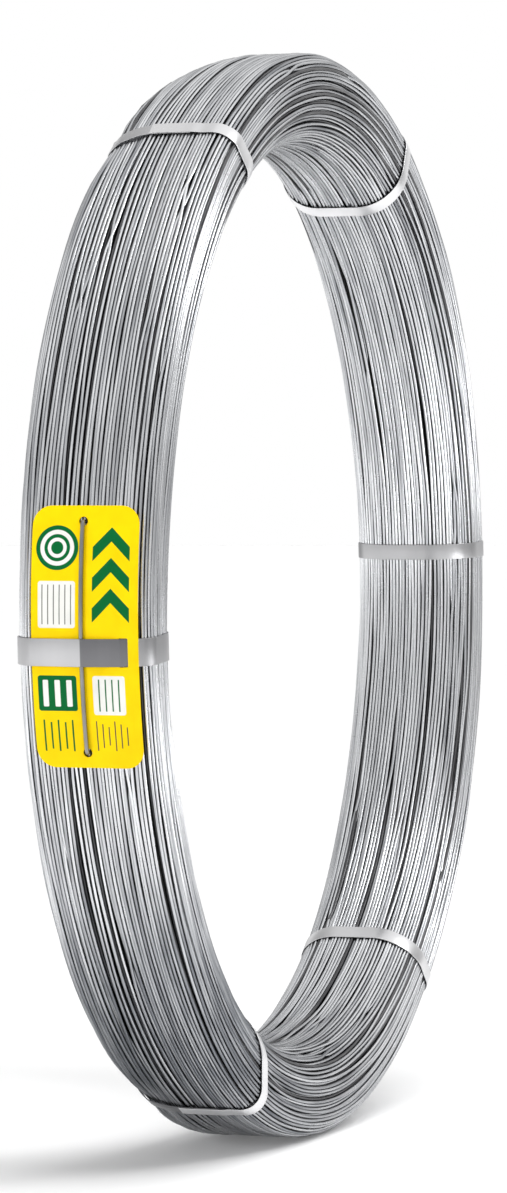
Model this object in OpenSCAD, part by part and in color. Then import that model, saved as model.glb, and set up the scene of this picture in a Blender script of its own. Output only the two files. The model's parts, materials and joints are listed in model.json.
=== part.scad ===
// Coil of galvanised wire, standing on its rim.
// The turns are strapped together at six places, and a tag is threaded on one strand under the wide strap.
// The origin is the centre of the bore. The coil's axis is Y, and angles run from +X towards +Z.

/* [Coil] */
// Diameter of the bore, inside the innermost turns
bore_d = 550; // [450:5:650]
// Depth of the bundle, from the innermost turns to the outermost
bundle_depth = 55; // [45:1:75]
// Width of the bundle along the coil's axis
coil_w = 80; // [70:1:110]
// Rounding of the bundle at its outer edges
outer_round = 13; // [8:0.5:18]
// Rounding of the bundle at its bore edges
bore_round = 25; // [16:0.5:26]

/* [Wire] */
// Long side of the oval wire, along the surface of the bundle
wire_w = 2.8; // [2.4:0.1:3.6]
// Short side of the oval wire, into the bundle
wire_h = 2.2; // [1.8:0.1:3]

/* [Straps] */
// Width of each plain strap
strap_w = 10; // [8:0.5:16]
// Width of the strap that holds the tag
wide_strap_w = 15.5; // [12:0.5:20]
// Thickness of the strapping
strap_t = 0.5; // [0.4:0.05:0.8]
// Length of the lap where a strap's ends overlap
strap_lap = 26; // [15:1:35]
// Room between a strap and what lies under it
strap_gap = 0.2; // [0.15:0.05:0.3]

/* [Tag] */
// Length of the tag, around the coil
tag_l = 147; // [110:1:170]
// Width of the tag, along the coil's axis
tag_w = 63; // [60:1:66]
// Thickness of the tag
tag_t = 0.6; // [0.4:0.1:1]
// Radius of the tag's corners
tag_corner = 11; // [4:1:20]
// Diameter of the two holes that the strand passes through
tag_hole_d = 5.4; // [5:0.1:7]
// Distance from the middle of a hole to the end of the tag
tag_hole_inset = 8.7; // [6:0.1:12]

/* [Hidden] */
$fn = 96;

galvanised = [0.70, 0.71, 0.73];
strapping = [0.78, 0.79, 0.80];
tag_yellow = [1.0, 0.83, 0.0];

bore_r = bore_d / 2;
coil_r = bore_r + bundle_depth;
quarter = 90;

// Angles of the five plain straps and of the wide one
strap_angles = [124, 62, 4.5, -53.5, -115];
wide_strap_angle = 184.3;
// Where a plain strap's lap ends, on the outer face: a share of the way round the section from mid-bore
lap_share = 0.55;

// The outline of the bundle's section, as legs that start in mid-bore: [length, corner radius]
bore_leg = coil_w / 2 - bore_round;
end_leg = bundle_depth - bore_round - outer_round;
outer_leg = coil_w - 2 * outer_round;
legs = [
    [bore_leg, 0], [arc_length(bore_round), bore_round],
    [end_leg, 0], [arc_length(outer_round), outer_round],
    [outer_leg, 0], [arc_length(outer_round), outer_round],
    [end_leg, 0], [arc_length(bore_round), bore_round],
    [bore_leg, 0]
];
girth = sum_lengths(len(legs) - 1);

// Whole turns round the outline, and one turn's ridge: [share of the pitch, share of the wire's half depth]
turns = round(girth / wire_w);
pitch = girth / turns;
turn_ridge = [[0, 1], [0.15, 0.29], [0.35, 0], [0.65, 0], [0.85, 0.29]];

// Spacing of the points along a strap, and the stretch in which its end climbs onto its start
strap_step = 2.5;
lap_climb = 3 * strap_step;
lap_height = strap_t + strap_gap / 2;

// The tag lies off the middle of the outer face, high enough for the strap to pass under its edge
tag_angle = 182.9;
tag_z = 3.3;
tag_clear = strap_t + 2 * strap_gap;
tag_in_r = coil_r + tag_clear;
tag_out_r = tag_in_r + tag_t;
tag_low_z = tag_z - tag_w / 2;
tag_high_z = tag_z + tag_w / 2;
tag_hole_swing = degrees_on(tag_l / 2 - tag_hole_inset, tag_out_r);
slot_margin = 6;
slot_l = 5.5;
slot_clear = 0.4;
slot_high_z = tag_high_z - slot_margin;
slot_low_z = slot_high_z - slot_l;

// The strand that carries the tag: it comes up through one hole, over the tag, and down the other
strand_offset = 1.6;
strand_z = tag_z - strand_offset;
strand_clear = 0.1;
strand_r = tag_out_r + strand_clear + wire_h / 2;
strand_inside_bend = 0.4;
strand_bend = wire_h / 2 + strand_inside_bend;
strand_swing = tag_hole_swing - degrees_on(strand_bend, strand_r);
strand_leg = strand_r - strand_bend - coil_r - strand_clear;
run_steps = 12;
bend_steps = 5;
round_steps = 6;

// Half of the strand, from its middle to one end: [place, outward heading]
bend_middle = (strand_r - strand_bend) * along(strand_swing);
leg_heading = strand_swing + quarter;
half_strand = concat(
    [for (i = [0 : run_steps]) let (a = strand_swing * i / run_steps) [strand_r * along(a), a]],
    [
        for (i = [1 : bend_steps])
            let (a = strand_swing + quarter * i / bend_steps)
                [bend_middle + strand_bend * along(a), a]
    ],
    [[bend_middle + strand_bend * along(leg_heading) - strand_leg * along(strand_swing), leg_heading]]
);

// Outline of the oval wire: [outward, along the coil's axis]
wire_outline = [
    for (side = [1, -1])
        for (i = [0 : round_steps])
            let (round_part = wire_h / 2 * along(2 * quarter * i / round_steps))
                side * (round_part + [0, (wire_w - wire_h) / 2])
];

// How far the wide strap stands off the bundle at each height across the outer face
over_tag = tag_clear + tag_t + strap_gap;
over_strand = over_tag + strand_clear + wire_h;
tag_run_up = 8;
edge_land = 1;
ridge_half = wire_w / 3;
wide_lift = [
    [tag_low_z - tag_run_up, strap_gap], [tag_low_z - edge_land, over_tag],
    [strand_z - ridge_half, over_strand], [strand_z + ridge_half, over_strand],
    [slot_low_z + edge_land, over_tag], [slot_high_z - edge_land / 2, strap_gap]
];

function arc_length(radius) = radius * PI / 2;
function degrees_on(length, radius) = length / radius * 180 / PI;
function along(heading) = [cos(heading), sin(heading)];
function sum_lengths(last) = last < 0 ? 0 : legs[last][0] + sum_lengths(last - 1);

// Place and heading after a distance on one leg, which runs straight or turns right
function on_leg(place, heading, distance, radius) =
    radius == 0
        ? [place + distance * along(heading), heading]
        : let (turned = heading - degrees_on(distance, radius))
            [place + radius * (along(heading - quarter) - along(turned - quarter)), turned];

// Place and heading after a distance round the section's outline
function walk(distance, place = [bore_r, 0], heading = quarter, leg = 0) =
    distance <= legs[leg][0] || leg == len(legs) - 1
        ? on_leg(place, heading, distance, legs[leg][1])
        : let (end = on_leg(place, heading, legs[leg][0], legs[leg][1]))
            walk(distance - legs[leg][0], end[0], end[1], leg + 1);

// Point [radius, height] at a distance round the section's outline, moved out of the bundle by lift
function rim(distance, lift) =
    let (reached = walk(distance - girth * floor(distance / girth)))
        reached[0] + lift * along(reached[1] + quarter);

// How far a strap's end is lifted by its start, after a run round the bundle
function lap_lift(run) = lap_height * min(max((run - girth + lap_climb) / lap_climb, 0), 1);

function outline_z(distance) = rim(distance, 0)[1];
function mirror_place(place) = [[place[0][0], -place[0][1]], -place[1]];
function on_outer_face(distance) = rim(distance, 0)[0] > bore_r + bundle_depth / 2;

// Turns a shape that is made about Z, so that the coil stands on its rim
module stand() {
    rotate([90, 0, 0]) children();
}

// One strip of strapping, from the distances and lifts of the path that its inner face follows
module strip(path, width) {
    inside = [for (p = path) rim(p[0], p[1])];
    outside = [for (i = [len(path) - 1 : -1 : 0]) rim(path[i][0], path[i][1] + strap_t)];
    rotate([90, 0, 0])
        linear_extrude(height = width, center = true)
            polygon(concat(inside, outside));
}

// The bundle of turns, with the ridge of each turn on its surface
module wire_coil() {
    color(galvanised)
        stand()
            rotate_extrude()
                polygon([
                    for (turn = [0 : turns - 1])
                        for (point = turn_ridge)
                            rim((turn + point[0]) * pitch, -point[1] * wire_h / 2)
                ]);
}

// A plain strap: one strip once round the bundle, with its end lapped over its start
module strap(angle) {
    start = lap_share * girth - strap_lap;
    path = [for (run = [0 : strap_step : girth + strap_lap]) [start + run, strap_gap + lap_lift(run)]];
    color(strapping)
        stand()
            rotate(angle)
                strip(path, strap_w);
}

// The wide strap: over the tag and its strand, down through the slot, and round the bundle to its own start
module wide_strap() {
    start = girth / 2 + outer_leg / 2 + outer_round;
    path = [
        for (run = [0 : strap_step / 2 : girth + strap_lap])
            let (at = start + run)
            let (lift = on_outer_face(at) ? lookup(outline_z(at), wide_lift) : strap_gap)
                [at, lift + lap_lift(run)]
    ];
    color(strapping)
        stand()
            rotate(wide_strap_angle)
                strip(path, wide_strap_w);
}

// A rectangle with round corners, about the origin
module round_rectangle(length, width, corner) {
    square([length - 2 * corner, width], center = true);
    square([length, width - 2 * corner], center = true);
    for (x = [-1, 1], y = [-1, 1])
        translate([x * (length / 2 - corner), y * (width / 2 - corner)])
            circle(corner);
}

// The tag: a thin curved plate with two holes for the strand and a slot for the wide strap
module tag() {
    color(tag_yellow)
        stand()
            difference() {
                intersection() {
                    difference() {
                        cylinder(r = tag_out_r, h = 2 * coil_w, center = true);
                        cylinder(r = tag_in_r, h = 3 * coil_w, center = true);
                    }
                    rotate(tag_angle)
                        translate([coil_r / 2, 0, tag_z])
                            rotate([90, 0, 90])
                                linear_extrude(height = coil_r)
                                    round_rectangle(tag_l, tag_w, tag_corner);
                }
                for (side = [-1, 1])
                    rotate(tag_angle + side * tag_hole_swing)
                        translate([coil_r / 2, 0, strand_z])
                            rotate([0, 90, 0])
                                cylinder(d = tag_hole_d, h = coil_r);
                rotate(wide_strap_angle)
                    translate([coil_r, 0, (slot_low_z + slot_high_z) / 2])
                        cube([coil_r / 2, wide_strap_w + 2 * slot_clear, slot_l], center = true);
            }
}

// The strand: the oval wire swept from one hole, over the tag and down the other, as one body
module tag_strand() {
    places = concat(
        [for (i = [len(half_strand) - 1 : -1 : 1]) mirror_place(half_strand[i])],
        half_strand
    );
    ring = len(wire_outline);
    last = len(places) - 1;
    points = [
        for (place = places)
            for (corner = wire_outline)
                let (flat = place[0] + corner[0] * along(place[1]))
                    [flat[0], flat[1], corner[1]]
    ];
    sides = [
        for (k = [0 : last - 1])
            for (i = [0 : ring - 1])
                let (next = (i + 1) % ring)
                    [k * ring + i, k * ring + next, (k + 1) * ring + next, (k + 1) * ring + i]
    ];
    start_cap = [for (i = [ring - 1 : -1 : 0]) i];
    end_cap = [for (i = [0 : ring - 1]) last * ring + i];
    color(galvanised)
        stand()
            translate([0, 0, strand_z])
                rotate(tag_angle)
                    polyhedron(points, concat([start_cap, end_cap], sides));
}

wire_coil();
strap(strap_angles[0]);  // strap_1
strap(strap_angles[1]);  // strap_2
strap(strap_angles[2]);  // strap_3
strap(strap_angles[3]);  // strap_4
strap(strap_angles[4]);  // strap_5
wide_strap();
tag();
tag_strand();
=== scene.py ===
"""A coil of galvanised wire with its straps and its tag, dressed for a studio picture."""
import json
import logging
import math
from dataclasses import dataclass
from enum import Enum

import bmesh
import bpy
import numpy as np
from bpy.types import ID, Material, Mesh, Node, NodeOutputs, NodeSocket, NodeTree, Object
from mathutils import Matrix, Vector


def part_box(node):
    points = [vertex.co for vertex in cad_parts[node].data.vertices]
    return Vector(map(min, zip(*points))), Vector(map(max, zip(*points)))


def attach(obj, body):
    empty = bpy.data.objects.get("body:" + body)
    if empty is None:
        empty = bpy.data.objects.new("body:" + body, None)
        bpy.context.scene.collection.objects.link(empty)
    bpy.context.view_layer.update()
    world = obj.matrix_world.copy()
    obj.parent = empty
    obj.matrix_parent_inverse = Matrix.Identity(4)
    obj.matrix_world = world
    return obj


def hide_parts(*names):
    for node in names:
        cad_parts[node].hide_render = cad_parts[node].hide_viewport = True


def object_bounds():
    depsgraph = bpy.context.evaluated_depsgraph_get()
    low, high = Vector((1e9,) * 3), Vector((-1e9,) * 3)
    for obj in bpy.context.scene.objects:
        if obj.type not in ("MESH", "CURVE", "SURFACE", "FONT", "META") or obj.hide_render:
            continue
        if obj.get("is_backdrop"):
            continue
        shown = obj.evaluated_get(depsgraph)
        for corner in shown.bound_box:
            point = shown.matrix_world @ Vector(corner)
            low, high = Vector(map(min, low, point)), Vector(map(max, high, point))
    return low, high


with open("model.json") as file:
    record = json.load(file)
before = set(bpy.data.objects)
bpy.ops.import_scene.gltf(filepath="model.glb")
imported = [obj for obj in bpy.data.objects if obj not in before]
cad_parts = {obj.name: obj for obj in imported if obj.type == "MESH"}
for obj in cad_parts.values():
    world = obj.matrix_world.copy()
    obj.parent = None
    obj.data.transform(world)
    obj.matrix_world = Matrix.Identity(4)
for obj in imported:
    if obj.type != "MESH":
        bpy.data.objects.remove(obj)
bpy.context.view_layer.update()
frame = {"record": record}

Colour = tuple[float, float, float, float]
Pair = tuple[float, float]
Place = tuple[float, float, float]

LOG = logging.getLogger("wire_coil")
MM = 0.001
FULL_TURN = 2 * math.pi
TINY = 1e-9
PHOTO_W = 507
PHOTO_H = 1193
BODY = "root"
COIL = "wire_coil"
WIDE_STRAP = "wide_strap"
PLAIN_STRAP_W = 10.0 * MM
WIDE_STRAP_W = 15.5 * MM
STRAP_EDGE_POINTS = 3
MID_TONE = 0.5


class Slot(Enum):
    """Material slots of the part's record."""

    WIRE = "wire"
    STRAPPING = "strapping"
    TAG = "tag"


class Region(Enum):
    """How deep in the bundle a lay of turns is."""

    SURFACE = "surface"
    SECOND = "second"
    THIRD = "third"


class Ink(Enum):
    """Colours of the tag and of its print."""

    YELLOW = (1.0, 0.69, 0.0, 1.0)
    GREEN = (0.0, 0.13, 0.03, 1.0)
    WHITE = (0.86, 0.86, 0.82, 1.0)
    BLACK = (0.06, 0.06, 0.05, 1.0)


# Helpers for node trees


class NodeBuilder:
    """Adds nodes to one tree and joins their sockets."""

    NUMBER_RESULTS = ("DOT_PRODUCT", "LENGTH")

    def __init__(self, tree: NodeTree) -> None:
        """Keeps the tree that nodes are added to."""
        self.tree = tree

    def add(self, kind: str, inputs: dict | None = None, **settings: object) -> Node:
        """Adds one node.

        Args:
            kind: The node's type name.
            inputs: Values or sockets for its inputs, by name or index.
            settings: Properties to set on the node.

        Returns:
            The new node.
        """
        node = self.tree.nodes.new(kind)
        for name, value in settings.items():
            setattr(node, name, value)
        for key, value in (inputs or {}).items():
            self.feed(node.inputs[key], value)
        return node

    def out(self, kind: str, inputs: dict | None = None, **settings: object) -> NodeSocket:
        """Adds one node, as add does, and gives its first output."""
        return self.add(kind, inputs, **settings).outputs[0]

    def feed(self, socket: NodeSocket, value: object) -> None:
        """Links a socket to an input, or sets the input's value.

        Args:
            socket: The input.
            value: The socket to link to it, or its value.
        """
        if isinstance(value, NodeSocket):
            self.tree.links.new(value, socket)
        else:
            socket.default_value = value

    def math(self, operation: str, *values: object, clamp: bool = False) -> NodeSocket:
        """Adds a Math node.

        Args:
            operation: The operation's name.
            values: Its operands, as numbers or sockets.
            clamp: Whether the result is held between 0 and 1.

        Returns:
            The result's socket.
        """
        return self.out("ShaderNodeMath", dict(enumerate(values)), operation=operation, use_clamp=clamp)

    def vector(self, operation: str, *values: object) -> NodeSocket:
        """Adds a Vector Math node.

        Args:
            operation: The operation's name.
            values: Its operands, as vectors or sockets.

        Returns:
            The result's socket.
        """
        node = self.add("ShaderNodeVectorMath", dict(enumerate(values)), operation=operation)
        return node.outputs["Value" if operation in self.NUMBER_RESULTS else "Vector"]

    def remap(self, value: object, span: Pair, target: Pair = (0.0, 1.0)) -> NodeSocket:
        """Maps one range onto another, clamped.

        Args:
            value: The number or socket to map.
            span: The range it comes from.
            target: The range it goes to.

        Returns:
            The mapped value's socket.
        """
        inputs = {"Value": value, "From Min": span[0], "From Max": span[1],
                  "To Min": target[0], "To Max": target[1]}
        return self.add("ShaderNodeMapRange", inputs).outputs["Result"]

    def mix(self, factor: object, first: object, second: object) -> NodeSocket:
        """Mixes two colours.

        Args:
            factor: The share of the second colour.
            first: The first colour, or its socket.
            second: The second colour, or its socket.

        Returns:
            The mixed colour's socket.
        """
        node = self.add("ShaderNodeMix", data_type="RGBA")
        self.feed(node.inputs["Factor"], factor)
        colours = [socket for socket in node.inputs if socket.type == "RGBA"]
        self.feed(colours[0], first)
        self.feed(colours[1], second)
        return next(socket for socket in node.outputs if socket.type == "RGBA")

    def noise(self, place: object, detail: float, scale: float = 1.0) -> NodeSocket:
        """Adds a Noise Texture.

        Args:
            place: The socket of the place to read it at.
            detail: How many finer octaves it has.
            scale: How many of its waves fit in a unit.

        Returns:
            The socket of its grey value.
        """
        return self.out("ShaderNodeTexNoise", {"Vector": place, "Scale": scale, "Detail": detail})

    def mirrored_ray(self, ray: NodeOutputs) -> NodeSocket:
        """Tells whether metal or glass sees what is coloured, from a Light Path node's outputs."""
        return self.math("MAXIMUM", ray["Is Glossy Ray"], ray["Is Transmission Ray"])


def grey(level: float) -> Colour:
    """Makes a grey colour."""
    return level, level, level, 1.0


def make_group(name: str, kind: str, inputs: dict[str, str],
               outputs: dict[str, str]) -> tuple[NodeTree, NodeBuilder, Node, Node]:
    """Makes an empty node group with named sockets.

    Args:
        name: The group's name.
        kind: The tree's type name.
        inputs: Socket kinds by input name.
        outputs: Socket kinds by output name.

    Returns:
        The tree, its builder, its input node and its output node.
    """
    tree = bpy.data.node_groups.new(name, kind)
    for direction, sockets in (("INPUT", inputs), ("OUTPUT", outputs)):
        for socket, socket_kind in sockets.items():
            tree.interface.new_socket(socket, in_out=direction, socket_type=f"NodeSocket{socket_kind}")
    build = NodeBuilder(tree)
    return tree, build, build.add("NodeGroupInput"), build.add("NodeGroupOutput")


def new_material(name: str) -> tuple[Material, NodeBuilder, Node]:
    """Makes a material with a Principled shader.

    Args:
        name: The material's name.

    Returns:
        The material, its node builder and its shader node.
    """
    material = bpy.data.materials.new(name)
    material.use_nodes = True
    return material, NodeBuilder(material.node_tree), material.node_tree.nodes["Principled BSDF"]


# Finishes


@dataclass(frozen=True)
class ZincSkin:
    """The mottle of a zinc coat: dull patches and a fine grain along the metal."""

    dull_span: Pair = (0.36, 0.66)
    patch_detail: float = 3.0
    grain_length: float = 12.0 * MM
    grain_lane: float = 7.0
    grain_detail: float = 2.0

    def group(self) -> NodeTree:
        """Builds the shader group.

        Returns:
            The group, with the outputs Dull and Grain.
        """
        tree, build, given, out = make_group(
            "zinc_skin", "ShaderNodeTree",
            {"Along": "Float", "Patch size": "Float"},
            {"Dull": "Float", "Grain": "Float"},
        )
        along = given.outputs["Along"]
        step = build.math("DIVIDE", along, given.outputs["Patch size"])
        patch = build.noise(build.out("ShaderNodeCombineXYZ", {"X": step}), self.patch_detail)
        build.feed(out.inputs["Dull"], build.remap(patch, self.dull_span))
        fine = build.math("DIVIDE", along, self.grain_length)
        streak = build.out("ShaderNodeCombineXYZ", {"X": fine, "Y": self.grain_lane})
        build.feed(out.inputs["Grain"], build.noise(streak, self.grain_detail))
        return tree


@dataclass(frozen=True)
class ZincFinish:
    """Bright zinc on steel, with duller patches along it."""

    GRAIN_DEPTH = 0.1

    name: str
    bright: Colour
    dull: Colour
    smooth: float
    rough: float
    patch_size: float
    mottle: float
    tone_spread: float
    edge: float = 1.0

    def material(self, skin: NodeTree) -> Material:
        """Builds the finish's material.

        Args:
            skin: The shared group that mottles the zinc.

        Returns:
            The material.
        """
        material, build, shader = new_material(self.name)
        tone, along = (build.add("ShaderNodeAttribute", attribute_name=label).outputs["Fac"]
                       for label in ("tone", "along"))
        inputs = {"Along": along, "Patch size": self.patch_size}
        mottled = build.add("ShaderNodeGroup", inputs, node_tree=skin).outputs
        dull = build.math("MULTIPLY", mottled["Dull"], self.mottle)
        # The tone attribute carries random tone, and on some pieces painted shade and painted light as
        # well.
        off_tone = build.math("SUBTRACT", tone, MID_TONE)
        shade = build.math("MULTIPLY_ADD", off_tone, self.tone_spread, dull, clamp=True)
        build.feed(shader.inputs["Base Color"], build.mix(shade, self.bright, self.dull))
        grain = build.math("SUBTRACT", mottled["Grain"], 0.5)
        grain = build.math("MULTIPLY", grain, self.GRAIN_DEPTH)
        rough = build.remap(shade, (0.0, 1.0), (self.smooth, self.rough))
        build.feed(shader.inputs["Roughness"], build.math("ADD", rough, grain))
        shader.inputs["Metallic"].default_value = 1.0
        shader.inputs["Specular Tint"].default_value = grey(self.edge)
        return material


# The wire's dull colour serves both its random mottle and the painted shade of the coil's zones.
ZINC_WIRE = ZincFinish(
    "zinc_wire", bright=(0.89, 0.9, 0.92, 1.0), dull=(0.23, 0.24, 0.26, 1.0), smooth=0.24, rough=0.36,
    patch_size=90.0 * MM, mottle=0.6, tone_spread=0.5, edge=0.5,
)
# Darker copies of the wire's zinc for the lays under the surface: painted shade in the gaps between the
# surface turns.
PAINTED_SHADE_WIRE = ZincFinish(
    "painted_shade_wire", bright=(0.15, 0.15, 0.155, 1.0), dull=(0.07, 0.07, 0.075, 1.0), smooth=0.3, rough=0.46,
    patch_size=90.0 * MM, mottle=1.0, tone_spread=0.8,
)
DEEP_SHADE_WIRE = ZincFinish(
    "deep_shade_wire", bright=grey(0.05), dull=grey(0.03), smooth=0.5, rough=0.7,
    patch_size=90.0 * MM, mottle=1.0, tone_spread=0.2,
)
# The strapping's tones darken it strap by strap and stretch by stretch, as painted reflection and painted
# shade.
STRAP_STEEL = ZincFinish(
    "strap_steel", bright=(0.88, 0.88, 0.89, 1.0), dull=(0.2, 0.2, 0.21, 1.0), smooth=0.32, rough=0.4,
    patch_size=40.0 * MM, mottle=0.15, tone_spread=0.5,
)
STRAND_WIRE = ZincFinish(
    "strand_wire", bright=grey(0.34), dull=grey(0.24), smooth=0.3, rough=0.44,
    patch_size=30.0 * MM, mottle=1.0, tone_spread=0.6,
)


@dataclass(frozen=True)
class PrintStack:
    """Printed bars one above the other, in millimetres from the tag's middle.

    The first bar has its middle at `first`, and every bar in a cycle is shorter than the one before it.
    """

    first: Pair
    half: Pair
    corner: float
    ink: Ink
    count: int = 1
    step: float = 0.0
    shorter: float = 0.0
    cycle: int = 1

    def bars(self) -> list[tuple[Pair, Pair]]:
        """Works out where each bar is.

        Returns:
            The middle and the half size of each bar.
        """
        along, across = self.first
        half_l, half_w = self.half
        return [((along, across + self.step * bar), (half_l - self.shorter * (bar % self.cycle), half_w))
                for bar in range(self.count)]


@dataclass(frozen=True)
class TagFinish:
    """A yellow printed tag: arrows, rings, panels and blank ruled lines, with no words."""

    blur: float = 0.12
    arrows: int = 3
    arrow_first: float = -52.0
    arrow_step: float = 17.0
    arrow_back: float = 5.5
    arrow_span: Pair = (4.1, 3.9)
    arrow_field: PrintStack = PrintStack((-37.0, 15.5), (33.0, 11.0), 1.0, Ink.GREEN)
    ring_middle: Pair = (-50.0, -16.5)
    rings: tuple[tuple[float, Ink], ...] = (
        (12.5, Ink.GREEN), (10.0, Ink.WHITE), (7.6, Ink.GREEN), (5.6, Ink.WHITE), (3.6, Ink.GREEN),
    )
    stacks: tuple[PrintStack, ...] = (
        PrintStack((-18.5, -16.5), (13.0, 11.0), 1.5, Ink.WHITE),
        PrintStack((-18.5, -25.0), (11.0, 0.28), 0.1, Ink.BLACK, count=6, step=3.4),
        PrintStack((31.0, -17.0), (10.0, 11.5), 1.5, Ink.GREEN),
        PrintStack((31.0, -24.0), (7.5, 1.6), 0.6, Ink.WHITE, count=3, step=7.0),
        PrintStack((55.0, -26.0), (9.0, 0.5), 0.2, Ink.GREEN, count=5, step=4.2, shorter=1.3, cycle=2),
        PrintStack((32.0, 13.5), (11.0, 9.5), 1.5, Ink.WHITE),
        PrintStack((32.0, 7.6), (9.0, 0.4), 0.2, Ink.GREEN, count=4, step=3.9),
        PrintStack((55.0, 5.0), (8.5, 0.35), 0.2, Ink.BLACK, count=6, step=3.6, shorter=1.6, cycle=3),
    )
    scuff_scale: float = 60.0
    scuff_detail: float = 5.0
    tint_span: Pair = (0.35, 0.75)
    tint: Pair = (1.04, 0.9)
    rough_span: Pair = (0.3, 0.7)
    rough: Pair = (0.42, 0.56)
    shine: float = 0.12
    scuff_depth: float = 0.2 * MM
    scuff_strength: float = 0.15

    def material(self) -> Material:
        """Builds the printed material.

        Returns:
            The material.
        """
        material, build, shader = new_material("tag_print")
        place = build.out("ShaderNodeUVMap", uv_map="print")
        box = self.box_group()

        def boxed(middle: Pair, half: Pair, corner: float) -> NodeSocket:
            """Masks one box, in millimetres from the tag's middle."""
            inputs = {"Place": place, "Middle": (*middle, 0.0), "Half size": (*half, 0.0), "Corner": corner}
            return build.out("ShaderNodeGroup", inputs, node_tree=box)

        along, across, _ = build.add("ShaderNodeSeparateXYZ", {0: place}).outputs
        field = self.arrow_field
        slope = build.math("ABSOLUTE", build.math("SUBTRACT", across, field.first[1]))
        colour = Ink.YELLOW.value
        for arrow in range(self.arrows):
            reach = build.math("SUBTRACT", along, self.arrow_first + self.arrow_step * arrow)
            reach = build.math("ADD", build.math("SUBTRACT", reach, slope), self.arrow_back)
            head = build.remap(build.math("ABSOLUTE", reach), self.arrow_span)
            head = build.math("MULTIPLY", head, boxed(field.first, field.half, field.corner))
            colour = build.mix(head, colour, field.ink.value)
        for reach, ink in self.rings:
            colour = build.mix(boxed(self.ring_middle, (reach, reach), reach), colour, ink.value)
        for stack in self.stacks:
            for middle, half in stack.bars():
                colour = build.mix(boxed(middle, half, stack.corner), colour, stack.ink.value)
        spot = build.add("ShaderNodeTexCoord").outputs["Object"]
        scuff = build.noise(spot, self.scuff_detail, self.scuff_scale)
        wear_and_shade = build.remap(scuff, self.tint_span, self.tint)
        tint = build.out("ShaderNodeVectorMath", {0: colour, "Scale": wear_and_shade}, operation="SCALE")
        build.feed(shader.inputs["Base Color"], tint)
        build.feed(shader.inputs["Roughness"], build.remap(scuff, self.rough_span, self.rough))
        shader.inputs["Specular IOR Level"].default_value = self.shine
        relief = {"Height": scuff, "Distance": self.scuff_depth, "Strength": self.scuff_strength}
        build.feed(shader.inputs["Normal"], build.out("ShaderNodeBump", relief))
        return material

    def box_group(self) -> NodeTree:
        """Builds the mask of one printed box with round corners, on the tag's own map in millimetres.

        Returns:
            The shader group, with the output Mask.
        """
        names = {"Place": "Vector", "Middle": "Vector", "Half size": "Vector", "Corner": "Float"}
        tree, build, given, out = make_group("print_box", "ShaderNodeTree", names, {"Mask": "Float"})
        place, middle, half, corner = (given.outputs[name] for name in names)
        away = build.vector("ABSOLUTE", build.vector("SUBTRACT", place, middle))
        away = build.vector("ADD", build.vector("SUBTRACT", away, half), corner)
        away = build.vector("MAXIMUM", away, (0.0, 0.0, 0.0))
        parts = build.add("ShaderNodeSeparateXYZ", {0: away}).outputs
        flat = build.out("ShaderNodeCombineXYZ", {"X": parts[0], "Y": parts[1]})
        edge = build.math("SUBTRACT", build.vector("LENGTH", flat), corner)
        build.feed(out.inputs["Mask"], build.remap(edge, (self.blur, -self.blur)))
        return tree


# Shapes


def ramp(value: np.ndarray, start: float, end: float) -> np.ndarray:
    """Eases from 0 at start to 1 at end.

    Args:
        value: The values to ease.
        start: Where the ramp starts.
        end: Where it ends.

    Returns:
        The eased values.
    """
    share = np.clip((value - start) / (end - start), 0.0, 1.0)
    return share * share * (3 - 2 * share)


def bell(away: np.ndarray, reach: float) -> np.ndarray:
    """Weighs places from 1 at no distance to 0 far away."""
    return np.exp(-(away / reach) ** 2)


def turn_from(angle: np.ndarray, start: float) -> np.ndarray:
    """Works out the turn from one angle to others, the shorter way round."""
    return np.angle(np.exp(1j * (angle - start)))


def angles_round(count: int) -> np.ndarray:
    """Spaces angles evenly round the coil's axis."""
    return FULL_TURN * np.arange(count) / count


def halfway(row: np.ndarray) -> np.ndarray:
    """Finds the places between neighbours on a closed row, on the cubic through the nearest four."""
    return (9 * (row + np.roll(row, -1, 0)) - np.roll(row, 1, 0) - np.roll(row, -2, 0)) / 16


def wave_noise(rng: np.random.Generator, length: int, turns: int, short: float,
               long: float = 0.0) -> np.ndarray:
    """Makes smooth noise along a wire.

    Args:
        rng: The source of random numbers.
        length: Number of places along the wire.
        turns: Number of turns.
        short: The shortest waves to keep, as waves in one turn.
        long: The longest waves to keep, or 0 to keep all of them.

    Returns:
        Noise of unit spread, by place.
    """
    spectrum = np.fft.rfft(rng.standard_normal(length))
    waves = np.arange(len(spectrum)) / turns
    weight = bell(waves, short)
    if long:
        weight -= bell(waves, long)
    noise = np.fft.irfft(spectrum * weight, length)
    return noise / noise.std()


def stand_up(place: np.ndarray, angle: np.ndarray | float) -> np.ndarray:
    """Turns pairs of radius and height into places on the standing coil.

    Args:
        place: Pairs of radius and height.
        angle: Angles about the coil's axis, from +X towards +Z.

    Returns:
        Places in the part's frame.
    """
    radius, height, turn = np.broadcast_arrays(place[..., 0], place[..., 1], angle)
    return np.stack([radius * np.cos(turn), -height, radius * np.sin(turn)], -1)


def new_object(name: str, data: ID) -> Object:
    """Links a new object to the scene.

    Args:
        name: The object's name.
        data: Its mesh, curve, lamp or camera.

    Returns:
        The object.
    """
    made = bpy.data.objects.new(name, data)
    bpy.context.scene.collection.objects.link(made)
    return made


def point_at(thing: Object, place: Vector, aim: Vector) -> None:
    """Puts a lamp or camera at its place and points it at its aim."""
    thing.location = place
    thing.rotation_euler = (aim - place).to_track_quat("-Z", "Y").to_euler()


def dress(piece: Object, node: str) -> None:
    """Ties a piece to the part and reports it.

    Args:
        piece: The piece.
        node: The node that the piece stands for.
    """
    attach(piece, BODY)
    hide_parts(node)
    triangles = sum(len(face.vertices) - 2 for face in piece.data.polygons)
    LOG.info("%s: %d triangles", piece.name, triangles)


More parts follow.
